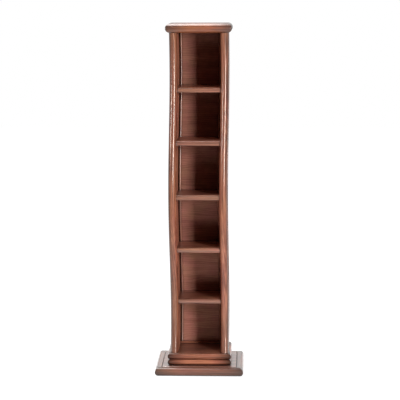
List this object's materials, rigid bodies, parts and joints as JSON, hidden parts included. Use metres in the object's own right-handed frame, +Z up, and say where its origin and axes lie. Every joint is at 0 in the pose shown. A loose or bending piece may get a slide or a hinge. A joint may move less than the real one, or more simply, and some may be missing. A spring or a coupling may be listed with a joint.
{
  "type": "cd storage rack",
  "caption": "Tall narrow wooden tower for CDs: S-curved stiles and panels, open compartments between fixed shelves, a bullnosed cap, and a stepped plinth on a wide base board.",
  "frame": {"origin": "middle of the underside of the base board", "axes": "+Z up along the tower, -Y towards its open front, +X to its right as seen from the front"},
  "size_m": [0.302, 0.27, 1.2],
  "materials": {
    "stained_wood": "dark red-brown stain under semi-gloss lacquer",
    "stained_plywood": "dark red-brown stain under satin lacquer, grain lying across",
    "plain_beech": "unfinished",
    "zinc_plated_steel": "bright zinc plate"
  },
  "bodies": {
    "root": {"back_panel": "stained_plywood", "base_edging_front": "stained_wood", "base_edging_left": "stained_wood", "base_edging_rear": "stained_wood", "base_edging_right": "stained_wood", "base_panel": "stained_wood", "base_screw_front_left": "zinc_plated_steel", "base_screw_front_right": "zinc_plated_steel", "base_screw_rear_left": "zinc_plated_steel", "base_screw_rear_right": "zinc_plated_steel", "cap": "stained_wood", "cap_dowel_front_left": "plain_beech", "cap_dowel_front_right": "plain_beech", "cap_dowel_rear_left": "plain_beech", "cap_dowel_rear_right": "plain_beech", "floor_board": "stained_wood", "foot_bead": "stained_wood", "front_left_stile": "stained_wood", "front_right_stile": "stained_wood", "left_bead_1": "stained_wood", "left_bead_2": "stained_wood", "left_bead_3": "stained_wood", "left_bead_4": "stained_wood", "left_bead_5": "stained_wood", "left_bead_6": "stained_wood", "left_side_panel": "stained_wood", "lower_moulding_front": "stained_wood", "lower_moulding_left": "stained_wood", "lower_moulding_rear": "stained_wood", "lower_moulding_right": "stained_wood", "lower_plinth_board": "stained_wood", "rear_left_stile": "stained_wood", "rear_right_stile": "stained_wood", "right_bead_1": "stained_wood", "right_bead_2": "stained_wood", "right_bead_3": "stained_wood", "right_bead_4": "stained_wood", "right_bead_5": "stained_wood", "right_bead_6": "stained_wood", "right_side_panel": "stained_wood", "shelf_1": "stained_wood", "shelf_2": "stained_wood", "shelf_3": "stained_wood", "shelf_4": "stained_wood", "shelf_5": "stained_wood", "upper_moulding_front": "stained_wood", "upper_moulding_left": "stained_wood", "upper_moulding_rear": "stained_wood", "upper_moulding_right": "stained_wood"}
  },
  "joints": []
}
